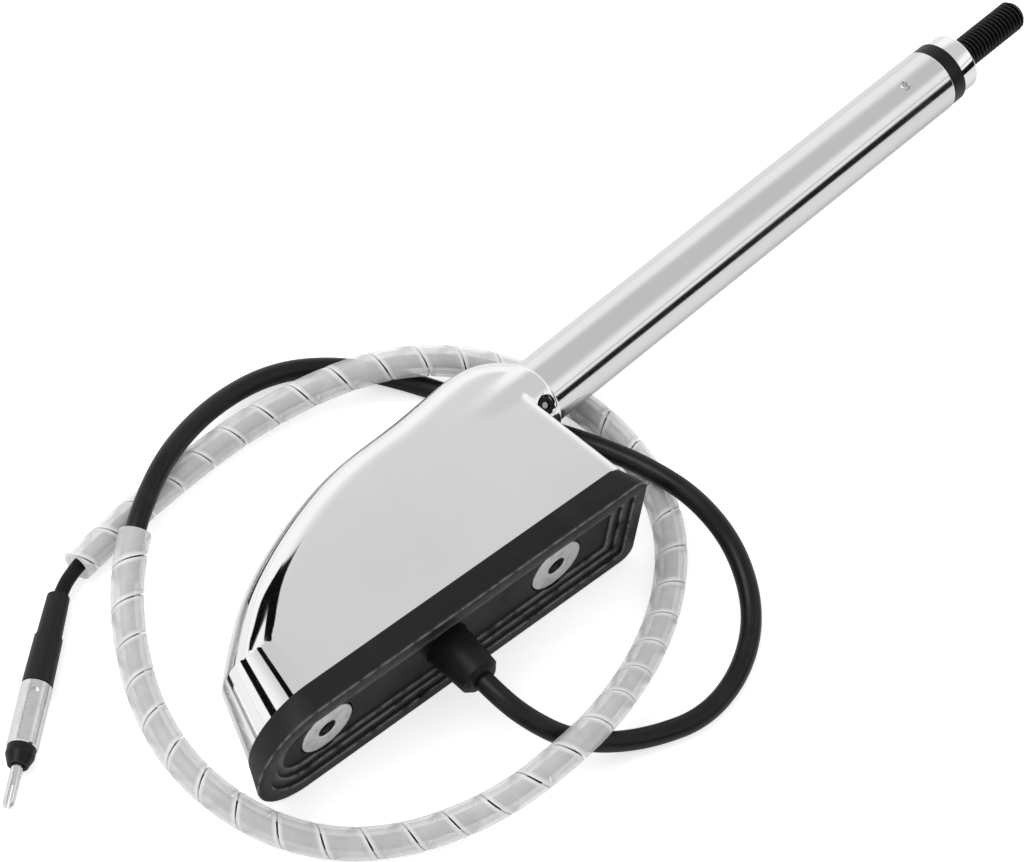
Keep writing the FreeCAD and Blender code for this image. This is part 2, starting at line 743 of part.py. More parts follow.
slot = new_sketch(pin, "pin_slot_outline", "XY_Plane", {"z": "-" + cell("through") + "/2"})
slot_half = cell("pin_slot_width") + "/2"
slot_start = cell("pin_tip") + "-" + cell("pin_slot_length")
slot_far = cell("pin_tip") + "+" + cell("through")
polygon(slot, [
    (slot_start, slot_half),
    (slot_far, slot_half),
    (slot_far, "-" + slot_half),
    (slot_start, "-" + slot_half),
])
feature(pin, "Pocket", "pin_slot", slot, Length=cell("through"), Reversed=True)
for piece in (sleeve_rear, sleeve_front, barrel, nose, pin):
    piece.Placement = plug_place


def corner_arc(before, at, after):
    # tangent arc at one point of a route, and its radius
    back = before.sub(at)
    ahead = after.sub(at)
    shorter = min(back.Length, ahead.Length)
    back.normalize()
    ahead.normalize()
    half_turn = (math.pi - back.getAngle(ahead)) / 2
    radius = 0.45 * shorter / math.tan(half_turn)
    reach = 0.45 * shorter
    start = at.add(FreeCAD.Vector(back).multiply(reach))
    finish = at.add(FreeCAD.Vector(ahead).multiply(reach))
    inward = back.add(ahead).normalize()
    middle = at.add(inward.multiply(radius / math.cos(half_turn) - radius))
    return start, middle, finish, radius


def route_wire(label, points):
    edges = []
    radii = []
    at = points[0]
    for index in range(1, len(points) - 1):
        start, middle, finish, radius = corner_arc(points[index - 1], points[index], points[index + 1])
        edges.append(Part.LineSegment(at, start).toShape())
        edges.append(Part.Arc(start, middle, finish).toShape())
        radii.append(radius)
        at = finish
    edges.append(Part.LineSegment(at, points[-1]).toShape())
    wire = Part.Wire(edges)
    print(label, "length %.1f" % wire.Length, "least radius %.1f" % min(radii))
    return wire


def tube_along(wire, points, radius):
    heading = points[1].sub(points[0])
    circle = Part.Wire([Part.makeCircle(radius, points[0], heading)])
    return wire.makePipeShell([circle], True, True)


def soft_run(label, points, radius, bore=0.0):
    spots = [FreeCAD.Vector(*point) for point in points]
    wire = route_wire(label, spots)
    solid = tube_along(wire, spots, radius)
    area = math.pi * radius ** 2
    if bore:
        solid = solid.cut(tube_along(wire, spots, bore))
        area -= math.pi * bore ** 2
    print(label, "volume ratio %.4f" % (solid.Volume / (area * wire.Length)))
    made = doc.addObject("Part::Feature", label)
    made.Label = label
    made.Shape = solid
    made.Placement = FreeCAD.Placement()
    return made


cable_route = [
    (1.3, -12.5, 0.0),
    (1.3, -21.5, 0.0),
    (4.4, -30.6, -2.4),
    (10.6, -38.0, -7.6),
    (20.8, -44.2, -13.4),
    (34.5, -50.0, -16.8),
    (51.1, -54.6, -17.1),
    (69.6, -50.2, -17.1),
    (85.6, -38.7, -16.1),
    (95.0, -21.0, -12.7),
    (95.0, -3.4, -7.2),
    (91.0, 14.0, -7.0),
    (86.2, 31.8, -11.4),
    (79.8, 48.4, -15.9),
    (71.0, 67.5, -17.1),
    (61.1, 85.2, -17.1),
    (49.6, 101.0, -17.1),
    (32.0, 111.5, -16.1),
    (9.0, 111.8, -12.4),
    (-15.0, 104.6, -7.2),
    (-34.2, 93.9, -7.2),
    (-45.8, 84.6, -10.0),
    (-50.25, 79.8, -11.7),
]
wrap_run = [
    (-45.8, 84.6, -10.0),
    (-54.7, 75.0, -13.4),
    (-63.1, 62.2, -15.4),
    (-71.1, 46.0, -15.4),
    (-75.4, 27.1, -15.4),
    (-74.1, 8.1, -15.4),
    (-67.7, -9.2, -15.4),
    (-56.4, -23.1, -15.4),
    (-41.1, -32.5, -15.0),
    (-26.4, -38.8, -11.7),
    (-13.0, -43.4, -5.7),
    (2.6, -44.4, -1.4),
    (20.3, -42.2, -1.8),
    (43.2, -33.9, -9.2),
    (63.6, -23.3, -14.6),
    (79.4, -10.6, -15.4),
    (90.0, 4.2, -15.4),
    (95.4, 21.9, -15.4),
    (96.0, 40.2, -15.4),
    (91.6, 58.4, -15.4),
    (80.2, 75.2, -13.2),
    (62.9, 86.0, -8.4),
    (45.7, 93.2, -8.4),
    (29.4, 98.8, -12.4),
    (10.6, 101.7, -15.4),
    (-10.3, 100.6, -15.4),
    (-30.3, 98.4, -15.4),
    (-48.2, 95.6, -15.4),
    (-57.0, 94.0, -15.4),
]
wrap_start = (-40.0, 89.25, -8.6)
tail_end = [(-66.15, 90.39, -15.6), (-74.0, 83.88, -15.6)]

soft_run("black_cable", cable_route, size("cable_radius"))
soft_run("spiral_wrap", [wrap_start] + wrap_run, size("wrap_radius"), size("wrap_bore"))
soft_run("tail_cable", [cable_route[-1]] + wrap_run[1:] + tail_end, size("tail_radius"))

# lead from the grommet up into the mast and along it to the stud
lead_start = FreeCAD.Vector(size("gland_x"), size("rim_height") + size("gland_flange_length"), 0)
lead_corner = mast_root.add(FreeCAD.Vector(mast_axis).multiply(size("gland_x") / mast_axis.x))
lead_reach = size("tube_end")
for name in ("bush_spigot_length", "nut_length", "stud_tail", "terminal_length"):
    lead_reach -= size(name)
lead_end = mast_root.add(FreeCAD.Vector(mast_axis).multiply(lead_reach))
back_way = lead_start.sub(lead_corner).normalize()
half_turn = (math.pi - back_way.getAngle(mast_axis)) / 2
reach = size("lead_bend") * math.tan(half_turn)
bend_start = lead_corner.add(FreeCAD.Vector(back_way).multiply(reach))
bend_end = lead_corner.add(FreeCAD.Vector(mast_axis).multiply(reach))
inward = FreeCAD.Vector(back_way).add(mast_axis).normalize()
bend_middle = lead_corner.add(inward.multiply(size("lead_bend") / math.cos(half_turn) - size("lead_bend")))
lead_wire = Part.Wire([
    Part.LineSegment(lead_start, bend_start).toShape(),
    Part.Arc(bend_start, bend_middle, bend_end).toShape(),
    Part.LineSegment(bend_end, lead_end).toShape(),
])
lead = doc.addObject("Part::Feature", "inner_lead")
lead.Label = "inner_lead"
lead.Shape = tube_along(lead_wire, [lead_start, bend_start], size("lead_radius"))
lead.Placement = FreeCAD.Placement()

doc.recompute()
os.makedirs("parts", exist_ok=True)
for item in doc.Objects:
    if "Invalid" in item.State or "Error" in item.State:
        raise ValueError(item.Label + " has failed")
for item in doc.Objects:
    if item.TypeId not in ("PartDesign::Body", "Part::Feature"):
        continue
    if item.Shape.isNull() or not item.Shape.isValid():
        raise ValueError(item.Label + " has no valid shape")
    print(item.Label, "volume %.0f" % item.Shape.Volume, "solids", len(item.Shape.Solids))
    item.Shape.exportStep("parts/" + item.Label + ".step")
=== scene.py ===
import math

import bmesh
import bpy
import numpy as np
from mathutils import Matrix, Vector


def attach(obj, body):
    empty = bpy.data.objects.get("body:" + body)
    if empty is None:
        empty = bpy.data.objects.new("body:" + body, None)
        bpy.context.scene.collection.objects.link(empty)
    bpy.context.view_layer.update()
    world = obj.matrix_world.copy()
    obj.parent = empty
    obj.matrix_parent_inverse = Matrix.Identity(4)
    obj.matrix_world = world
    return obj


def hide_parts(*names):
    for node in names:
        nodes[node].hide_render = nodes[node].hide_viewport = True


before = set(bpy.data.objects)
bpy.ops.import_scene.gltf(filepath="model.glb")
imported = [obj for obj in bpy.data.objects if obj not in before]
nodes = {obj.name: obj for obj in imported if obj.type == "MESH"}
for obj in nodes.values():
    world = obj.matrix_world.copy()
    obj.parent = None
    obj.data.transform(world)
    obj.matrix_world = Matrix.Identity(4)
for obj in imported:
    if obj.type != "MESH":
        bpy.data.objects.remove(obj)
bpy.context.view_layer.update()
scene = bpy.context.scene
scene.view_settings.view_transform = "Standard"
print("frame loaded")

# camera: the photo's own place and roll, a long lens
view = {
    "spot": (-0.5152, -0.4304, 1.0664),
    "right": (0.7382, -0.6666, 0.1039),
    "up": (0.5075, 0.6501, 0.5656),
    "lens": 158.2,
}
right = Vector(view["right"]).normalized()
back = right.cross(Vector(view["up"])).normalized()
up = back.cross(right)
lens = bpy.data.cameras.new("camera")
lens.sensor_fit = "HORIZONTAL"
lens.sensor_width = 36
lens.lens = view["lens"]
lens.clip_end = 20
camera = bpy.data.objects.new("camera", lens)
camera.matrix_world = Matrix((right, up, back)).transposed().to_4x4()
camera.location = view["spot"]
scene.collection.objects.link(camera)
scene.camera = camera
print("camera placed")


# one node output, so that shader maths reads as sums
class Tap:
    def __init__(self, tree, socket):
        self.tree = tree
        self.socket = socket

    def put(self, target, value):
        if isinstance(value, Tap):
            self.tree.links.new(value.socket, target)
        else:
            target.default_value = value

    def node(self, kind, settings=None, inputs=None, out=0):
        made = self.tree.nodes.new(kind)
        for name, value in (settings or {}).items():
            setattr(made, name, value)
        for name, value in (inputs or {}).items():
            self.put(made.inputs[name], value)
        return Tap(self.tree, made.outputs[out])

    def maths(self, operation, first, second=0.0):
        return self.node("ShaderNodeMath", {"operation": operation}, {0: first, 1: second})

    def __add__(self, other):
        return self.maths("ADD", self, other)

    def __radd__(self, other):
        return self.maths("ADD", other, self)

    def __rsub__(self, other):
        return self.maths("SUBTRACT", other, self)

    def __mul__(self, other):
        return self.maths("MULTIPLY", self, other)

    def between(self, low, high):
        wanted = {"Value": self, "From Min": low, "From Max": high}
        return self.node("ShaderNodeMapRange", {"interpolation_type": "SMOOTHSTEP"}, wanted)

    def blend(self, first, second):
        # self is the share of the second colour
        return self.node("ShaderNodeMix", {"data_type": "RGBA"}, {0: self, 6: first, 7: second}, 2)

    def axis(self, letter):
        return self.node("ShaderNodeSeparateXYZ", None, {0: self}, "XYZ".index(letter))

    def noise(self, scale, detail=3.0, rough=0.5, squash=None):
        place = self
        if squash:
            place = self.node("ShaderNodeVectorMath", {"operation": "MULTIPLY"}, {0: self, 1: squash})
        wanted = {"Vector": place, "Scale": scale, "Detail": detail, "Roughness": rough}
        return self.node("ShaderNodeTexNoise", None, wanted)


def grey(level):
    return (level, level, level, 1.0)


def startMaterial(name):
    made = bpy.data.materials.new(name)
    made.use_nodes = True
    shader = made.node_tree.nodes["Principled BSDF"]
    spot = made.node_tree.nodes.new("ShaderNodeTexCoord")
    return made, shader, Tap(made.node_tree, spot.outputs["Object"])


def setSockets(shader, place, **values):
    for name, value in values.items():
        place.put(shader.inputs[name.replace("_", " ")], value)


def bump(place, height, strength, distance):
    return place.node("ShaderNodeBump", None, {"Strength": strength, "Distance": distance, "Height": height})


# polished chrome: near-white mirror, faint polishing haze and a few dull specks
def chromeMaterial(name, level, shine):
    made, shader, place = startMaterial(name)
    haze = place.noise(34.0, 4.0)
    speck = place.noise(900.0, 2.0).between(0.70, 0.78)
    wave = place.noise(45.0, 1.0)
    setSockets(shader, place, Metallic=1.0, Roughness=shine + haze.between(0.4, 0.75) * 0.04 + speck * 0.05)
    setSockets(shader, place, Base_Color=haze.between(0.3, 0.8).blend(grey(level), grey(level * 0.96)))
    setSockets(shader, place, Normal=bump(place, wave, 0.05, 0.0003))
    return made


# moulded rubber: charcoal, chalky in patches, fine grain, with a painted highlight in patches along the step edges
def rubberMaterial():
    made, shader, place = startMaterial("seatRubber")
    chalk = place.noise(70.0, 5.0, 0.6).between(0.45, 0.8)
    grain = place.noise(2600.0, 2.0)
    # painted highlight: the step edges are paler in colour, in patches
    edgeSheen = place.node("ShaderNodeAttribute", {"attribute_name": "edgeSheen"}, None, "Fac")
    edgeSheen = edgeSheen * place.noise(300.0, 3.0).between(0.25, 0.6)
    plain = chalk.blend(grey(0.004), grey(0.011))
    setSockets(shader, place, Base_Color=edgeSheen.blend(plain, grey(0.16)))
    setSockets(shader, place, Roughness=0.42 + chalk * 0.2, Specular_IOR_Level=0.28)
    setSockets(shader, place, Normal=bump(place, grain, 0.3, 0.00012))
    return made


# extruded cable jacket: black, satin, a faint fine grain and dust
def jacketMaterial(name, dark, light, shine, gloss):
    made, shader, place = startMaterial(name)
    dust = place.noise(120.0, 4.0).between(0.45, 0.8)
    grain = place.noise(1800.0, 2.0)
    setSockets(shader, place, Base_Color=dust.blend(grey(dark), grey(light)), Specular_IOR_Level=gloss)
    setSockets(shader, place, Roughness=shine + dust * 0.12)
    setSockets(shader, place, Normal=bump(place, grain, 0.12, 0.0001))
    return made


# milky wrap: translucent plastic, cloudier in patches and along the cut edges
def milkyMaterial():
    made, shader, place = startMaterial("milkyPlastic")
    cloud = place.noise(150.0, 3.0)
    edge = place.node("ShaderNodeAttribute", {"attribute_name": "edge"}, None, "Fac")
    setSockets(shader, place, Base_Color=cloud.blend(grey(0.84), grey(0.93)), Specular_IOR_Level=0.4)
    setSockets(shader, place, Roughness=0.22 + cloud * 0.1, Alpha=0.34 + cloud * 0.12 + edge * 0.45)
    setSockets(shader, place, Normal=bump(place, cloud, 0.05, 0.0004))
    return made


# bare metal: stained in patches, with fine tool lines
def steelMaterial(name, level, shine, dull, grainDepth=0.00008):
    made, shader, place = startMaterial(name)
    stain = place.noise(260.0, 4.0).between(0.4, 0.8)
    lines = place.noise(1400.0, 2.0, 0.5, (1.0, 1.0, 0.2))
    setSockets(shader, place, Metallic=1.0, Base_Color=stain.blend(grey(level), grey(level * dull)))
    setSockets(shader, place, Roughness=shine + stain * 0.14)
    setSockets(shader, place, Normal=bump(place, lines, 0.25, grainDepth))
    return made


chrome = chromeMaterial("chrome", 0.93, 0.03)
tubeChrome = chromeMaterial("tubeChrome", 0.80, 0.11)
rubber = rubberMaterial()
cableJacket = jacketMaterial("cableJacket", 0.003, 0.008, 0.34, 0.3)
tailJacket = jacketMaterial("tailJacket", 0.004, 0.010, 0.4, 0.2)
shrink = jacketMaterial("shrinkSleeve", 0.004, 0.009, 0.44, 0.32)
blackPlastic = jacketMaterial("blackPlastic", 0.004, 0.009, 0.34, 0.25)
milky = milkyMaterial()
plainSteel = steelMaterial("plainSteel", 0.62, 0.3, 0.72, 0.0002)
castFace = steelMaterial("castFace", 0.92, 0.42, 0.7, 0.0003)
nickel = steelMaterial("nickel", 0.78, 0.13, 0.85)
brass = steelMaterial("brass", 0.6, 0.25, 0.8)
# black steel; also laid on the walls of the tapped holes as painted shade
blackSteelAndShade = steelMaterial("blackSteelAndShade", 0.035, 0.3, 0.7)
print("materials made")

finishes = {
    "base_housing": chrome, "mast_tube": tubeChrome, "top_collar": chrome,
    "base_gasket": rubber, "cable_gland": rubber,
    "mast_grub_screw": blackSteelAndShade, "mast_head_screw": plainSteel, "stud_nut": plainSteel,
    "insulator_bush": blackPlastic, "plug_insulator": blackPlastic,
    "whip_stud": blackSteelAndShade, "stud_terminal": brass, "inner_lead": cableJacket,
    "black_cable": cableJacket, "tail_cable": tailJacket, "spiral_wrap": milky,
    "sleeve_rear": shrink, "sleeve_front": shrink, "plug_barrel": nickel, "plug_pin": nickel,
}
for name, finish in finishes.items():
    nodes[name].data.materials.clear()
    nodes[name].data.materials.append(finish)

# cords: one smooth line each, the same points as the solids
cableRoute = [
    (0.0013, -0.0125, 0.0), (0.0013, -0.0215, 0.0), (0.0044, -0.0306, -0.0024),
    (0.0106, -0.0380, -0.0076), (0.0208, -0.0442, -0.0134), (0.0345, -0.0500, -0.0168),
    (0.0511, -0.0546, -0.0171), (0.0696, -0.0502, -0.0171), (0.0856, -0.0387, -0.0161),
    (0.0950, -0.0210, -0.0127), (0.0950, -0.0034, -0.0072), (0.0910, 0.0140, -0.0070),
    (0.0862, 0.0318, -0.0114), (0.0798, 0.0484, -0.0159), (0.0710, 0.0675, -0.0171),
    (0.0611, 0.0852, -0.0171), (0.0496, 0.1010, -0.0171), (0.0320, 0.1115, -0.0161),
    (0.0090, 0.1118, -0.0124), (-0.0150, 0.1046, -0.0072), (-0.0342, 0.0939, -0.0072),
    (-0.0458, 0.0846, -0.0100), (-0.05025, 0.0798, -0.0117),
]
wrapRun = [
    (-0.0458, 0.0846, -0.0100), (-0.0547, 0.0750, -0.0134), (-0.0631, 0.0622, -0.0154),
    (-0.0711, 0.0460, -0.0154), (-0.0754, 0.0271, -0.0154), (-0.0741, 0.0081, -0.0154),
    (-0.0677, -0.0092, -0.0154), (-0.0564, -0.0231, -0.0154), (-0.0411, -0.0325, -0.0150),
    (-0.0264, -0.0388, -0.0117), (-0.0130, -0.0434, -0.0057), (0.0026, -0.0444, -0.0014),
    (0.0203, -0.0422, -0.0018), (0.0432, -0.0339, -0.0092), (0.0636, -0.0233, -0.0146),
    (0.0794, -0.0106, -0.0154), (0.0900, 0.0042, -0.0154), (0.0954, 0.0219, -0.0154),
    (0.0960, 0.0402, -0.0154), (0.0916, 0.0584, -0.0154), (0.0802, 0.0752, -0.0132),
    (0.0629, 0.0860, -0.0084), (0.0457, 0.0932, -0.0084), (0.0294, 0.0988, -0.0124),
    (0.0106, 0.1017, -0.0154), (-0.0103, 0.1006, -0.0154), (-0.0303, 0.0984, -0.0154),
    (-0.0482, 0.0956, -0.0154), (-0.0570, 0.0940, -0.0154),
]
wrapStart = (-0.0400, 0.08925, -0.0086)
tailEnd = [(-0.06615, 0.09039, -0.0156), (-0.0740, 0.08388, -0.0156)]


def routeCurve(name, points, radius):
    data = bpy.data.curves.new(name, "CURVE")
    data.dimensions = "3D"
    spline = data.splines.new("NURBS")
    spline.points.add(len(points) - 1)
    for spot, point in zip(spline.points, points):
        spot.co = (*point, 1.0)
    spline.order_u = 3
    spline.use_endpoint_u = True
    spline.resolution_u = 12
    data.bevel_depth = radius
    data.bevel_resolution = 7
    data.use_fill_caps = radius > 0
    made = bpy.data.objects.new(name, data)
    scene.collection.objects.link(made)
    return made


def lineOf(points):
    # points along the route's own spline
    bare = routeCurve("bareLine", points, 0.0)
    mesh = bpy.data.meshes.new_from_object(bare)
    line = np.array([spot.co[:] for spot in mesh.vertices])
    bpy.data.objects.remove(bare)
    bpy.data.meshes.remove(mesh)
    return line


def readAlong(distances, run, rows):
    return np.stack([np.interp(distances, run, rows[:, k]) for k in range(3)], axis=1)


def alongLine(line, distances):
    steps = np.linalg.norm(np.diff(line, axis=0), axis=1)
    return readAlong(distances, np.concatenate([[0.0], np.cumsum(steps)]), line)


def lineLength(line):
    return float(np.linalg.norm(np.diff(line, axis=0), axis=1).sum())


def carriedFrames(line):
    # two directions square to the line, carried along it without twist
    ahead = np.gradient(line, axis=0)
    ahead /= np.linalg.norm(ahead, axis=1)[:, None]
    side = np.cross(ahead[0], (0.0, 0.0, 1.0))
    sides = []
    for way in ahead:
        side = side - way * (side @ way)
        side = side / np.linalg.norm(side)
        sides.append(side)
    sides = np.array(sides)
    return sides, np.cross(ahead, sides)


def meshObject(name, spots, faces, material, smooth=True, crisp=None):
    data = bpy.data.meshes.new(name)
    data.from_pydata([tuple(spot) for spot in spots], [], [tuple(face) for face in faces])
    work = bmesh.new()
    work.from_mesh(data)
    bmesh.ops.recalc_face_normals(work, faces=work.faces)
    work.to_mesh(data)
    work.free()
    data.polygons.foreach_set("use_smooth", np.full(len(data.polygons), smooth))
    if crisp:
        data.set_sharp_from_angle(angle=math.radians(crisp))
    data.materials.append(material)
    data.update()
    made = bpy.data.objects.new(name, data)
    scene.collection.objects.link(made)
    return made


def gridFaces(rows, columns, closeRows=False, closeColumns=False):
    rowCount = rows if closeRows else rows - 1
    columnCount = columns if closeColumns else columns - 1
    a, b = np.meshgrid(np.arange(rowCount), np.arange(columnCount), indexing="ij")
    c, d = (a + 1) % rows, (b + 1) % columns
    corners = [a * columns + b, c * columns + b, c * columns + d, a * columns + d]
    return np.stack(corners, axis=-1).reshape(-1, 4)


cable = routeCurve("blackCable", cableRoute, 0.0031)
cable.data.materials.append(cableJacket)
tail = routeCurve("tailCable", [cableRoute[-1]] + wrapRun[1:] + tailEnd, 0.0021)
tail.data.materials.append(tailJacket)

# spiral wrap: a flat strip wound round the line, a narrow slit between turns
wrap = {
    "outer": 0.00475, "inner": 0.0038, "pitch": 0.0124, "slit": 0.0006, "round": 0.00012,
    "steps": 28, "across": 9, "lineSteps": 1600,
}


def spiralWrap():
    line = lineOf([wrapStart] + wrapRun)
    total = lineLength(line)
    run = np.linspace(0, total, wrap["lineSteps"])
    fine = alongLine(line, run)
    side, over = carriedFrames(fine)
    turns = total / wrap["pitch"]
    count = int((turns + 1) * wrap["steps"])
    angle = np.linspace(-2 * math.pi, turns * 2 * math.pi, count)
    half = (wrap["pitch"] - wrap["slit"]) / 2
    # ring of the strip's section: across on the outside, back on the inside
    share = np.linspace(-1, 1, wrap["across"])
    ringShift = np.concatenate([share, share[::-1]]) * half
    rounding = np.where(np.abs(share) > 0.9, wrap["round"], 0.0)
    ringRadius = np.concatenate([wrap["outer"] - rounding, np.full(len(share), wrap["inner"])])
    spots = []
    for turn in angle:
        place = np.clip(wrap["pitch"] * (turn / (2 * math.pi) + 0.5) + ringShift, 0, total)
        middle, sideWay, overWay = [readAlong(place, run, rows) for rows in (fine, side, over)]
        out = sideWay * math.cos(turn) + overWay * math.sin(turn)
        spots.append(middle + out * ringRadius[:, None])
    spots = np.array(spots)
    rows, columns = spots.shape[:2]
    faces = gridFaces(rows, columns, closeColumns=True).tolist()
    made = meshObject("spiralWrap", spots.reshape(-1, 3), faces, milky, crisp=50)
    edge = made.data.attributes.new("edge", "FLOAT", "POINT")
    ringEdge = np.clip((np.abs(np.concatenate([share, share])) - 0.8) / 0.2, 0, 1)
    edge.data.foreach_set("value", np.tile(ringEdge, rows))
    return made, line, total


wrapPiece, wrapLine, wrapTotal = spiralWrap()
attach(cable, "root")
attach(tail, "root")
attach(wrapPiece, "root")
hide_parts("black_cable")
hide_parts("tail_cable")
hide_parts("spiral_wrap")
print("cords laid", wrapTotal)

# turned pieces: a rounded half profile of distance along an axis and radius, in millimetres,
# spun about local X
mast = {"root": (0.0, 44.8, 0.0), "lean": 4.0}
mastPlace = Matrix.Translation(mast["root"]) @ Matrix.Rotation(math.radians(mast["lean"]), 4, "Z")


def placed(spots, place):
    turned = np.asarray(spots) @ np.array(place.to_3x3()).T + np.array(place.translation)
    return turned * 0.001


def roundedLine(corners, steps=6):
    # each corner is cut back by its rounding and joined by a quadratic curve
    line = []
    for k, (along, radius, cut) in enumerate(corners):
        here = np.array((along, radius))
        if not cut:
            line.append(here)
            continue
        before = np.array(corners[k - 1][:2]) - here
        after = np.array(corners[(k + 1) % len(corners)][:2]) - here
        first = here + before / np.linalg.norm(before) * cut
        last = here + after / np.linalg.norm(after) * cut
        for share in np.linspace(0, 1, steps):
            line.append((1 - share) ** 2 * first + 2 * share * (1 - share) * here + share ** 2 * last)
    return np.array(line)


def spunSpots(along, radius, around):
    # rows along the axis, columns around it
    turn = np.arange(around) * 2 * math.pi / around
    rows = radius if np.ndim(radius) == 2 else np.repeat(radius[:, None], around, 1)
    return np.stack([np.repeat(along[:, None], around, 1), rows * np.cos(turn), rows * np.sin(turn)], -1)


def spunPiece(name, along, radius, place, material, around=96, loop=False, crisp=35):
    spots = spunSpots(along, radius, around).reshape(-1, 3)
    rows = len(along)
    faces = gridFaces(rows, around, closeRows=loop, closeColumns=True).tolist()
    if not loop:
        faces.append(list(range(around)))
        faces.append(list(range((rows - 1) * around, rows * around)))
    made = meshObject(name, placed(spots, place), faces, material, crisp=crisp)
    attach(made, "root")
    return made


def turnedPiece(name, corners, place, material, around=96, loop=False):
    line = roundedLine(corners)
    return spunPiece(name, line[:, 0], line[:, 1], place, material, around, loop)


tube = {"start": 76.0, "end": 256.4, "radius": 10.3, "edge": 0.5, "bore": 8.6}
tubePiece = turnedPiece("mastTube", [
    (tube["start"], tube["radius"], 0), (tube["end"], tube["radius"], tube["edge"]), (tube["end"], tube["bore"], 0),
], mastPlace, tubeChrome, 192)
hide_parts("mast_tube")

collar = {"start": 261.4, "end": 268.2, "radius": 9.3, "bore": 4.9, "footEdge": 0.25, "edge": 0.7}
collarPiece = turnedPiece("topCollar", [
    (collar["start"], collar["bore"], 0), (collar["start"], collar["radius"], collar["footEdge"]),
    (collar["end"], collar["radius"], collar["edge"]), (collar["end"], collar["bore"], 0),
], mastPlace, chrome, 128, loop=True)
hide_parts("top_collar")

# stud: radius is the root plus a trapezium wave of (distance - turn x pitch), under a chamfer cone at the tip
stud = {
    "start": 262.0, "threadStart": 269.0, "tip": 297.3, "crest": 4.98, "root": 4.08, "pitch": 1.5, "step": 0.075,
    "rootShare": 0.22, "flankShare": 0.62, "runIn": 0.8, "chamfer": 1.5, "coneFall": 0.75,
}


def threadedStud(around=72):
    along = np.arange(stud["threadStart"], stud["tip"] + 0.01, stud["step"])
    turn = np.arange(around) / around
    wave = np.abs(2 * ((along[:, None] / stud["pitch"] - turn) % 1.0) - 1)
    rise = np.clip((wave - stud["rootShare"]) / stud["flankShare"], 0, 1)
    runIn = np.clip((along - stud["threadStart"]) / stud["runIn"], 0, 1)[:, None]
    radius = stud["root"] + (stud["crest"] - stud["root"]) * rise * runIn
    cone = stud["crest"] - np.clip(along - stud["tip"] + stud["chamfer"], 0, None) * stud["coneFall"]
    radius = np.minimum(radius, cone[:, None])
    neck = np.full((1, around), stud["root"])
    along = np.concatenate([[stud["start"]], along])
    return spunPiece("whipStud", along, np.concatenate([neck, radius]), mastPlace, blackSteelAndShade, around, crisp=40)


studPiece = threadedStud()
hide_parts("whip_stud")


def secondFinish(piece, material, chosen):
    # the first faces take the second material where chosen
    piece.data.materials.append(material)
    rest = len(piece.data.polygons) - len(chosen)
    piece.data.polygons.foreach_set("material_index", np.pad(chosen, (0, rest)).astype(np.int32))


# pan head: a flattened dome with a cross recess pressed into it
headScrew = {
    "station": 241.2, "way": (0.0, -0.03, 1.0), "radius": 1.9, "seat": 9.9, "rise": 0.95,
    "slot": 0.26, "reach": 1.2, "depth": 0.5,
}


def acrossPlace(station, way):
    turn = Vector((1, 0, 0)).rotation_difference(Vector(way).normalized())
    return mastPlace @ Matrix.Translation((station, 0, 0)) @ turn.to_matrix().to_4x4()


def faceDisc(name, place, radii, heights, around, material):
    # polar grid: rows of radius, columns around, each spot with its own height along local X
    turn = np.arange(around) * 2 * math.pi / around
    y, z = np.outer(radii, np.cos(turn)), np.outer(radii, np.sin(turn))
    spots = np.stack([heights(y, z), y, z], -1).reshape(-1, 3)
    faces = gridFaces(len(radii), around, closeColumns=True).tolist()
    faces.append(list(range(around)))
    faces.append(list(range((len(radii) - 1) * around, len(radii) * around)))
    made = meshObject(name, placed(spots, place), faces, material, crisp=45)
    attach(made, "root")
    return made


def panHeight(y, z):
    reach = np.hypot(y, z) / headScrew["radius"]
    dome = headScrew["seat"] + headScrew["rise"] * np.clip(1.02 - reach ** 4, 0, 1)
    cross = np.minimum(np.abs(y), np.abs(z)) < headScrew["slot"]
    return dome - headScrew["depth"] * (cross & (np.hypot(y, z) < headScrew["reach"]))


headRadii = np.concatenate([np.linspace(0.05, 1.84, 34), [headScrew["radius"]] * 2])
headPlace = acrossPlace(headScrew["station"], headScrew["way"])
headPiece = faceDisc("mastHeadScrew", headPlace, headRadii, panHeight, 144, plainSteel)
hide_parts("mast_head_screw")

# grub screw: a flat face with a chamfered rim and a six-sided key hole, its floor rubbed bright
grubScrew = {
    "station": 73.5, "way": (0.0, -0.7071, 0.7071), "radius": 2.7, "face": 11.0, "key": 1.3, "depth": 0.5,
    "bright": 0.9, "around": 96,
}


def keyHeight(y, z):
    reach = np.hypot(y, z)
    flats = [np.abs(y * math.cos(turn) + z * math.sin(turn)) for turn in (0.0, math.pi / 3, 2 * math.pi / 3)]
    rim = np.clip(reach - grubScrew["radius"] + 0.3, 0, None) * 3.0
    return grubScrew["face"] - rim - grubScrew["depth"] * (np.max(flats, axis=0) < grubScrew["key"])


grubRadii = np.concatenate([np.linspace(0.05, 2.4, 40), [2.7, 2.72]])
grubPlace = acrossPlace(grubScrew["station"], grubScrew["way"])
grubPiece = faceDisc("mastGrubScrew", grubPlace, grubRadii, keyHeight, grubScrew["around"], blackSteelAndShade)
secondFinish(grubPiece, plainSteel, np.repeat(grubRadii[:40] < grubScrew["bright"], grubScrew["around"]))
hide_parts("mast_grub_screw")

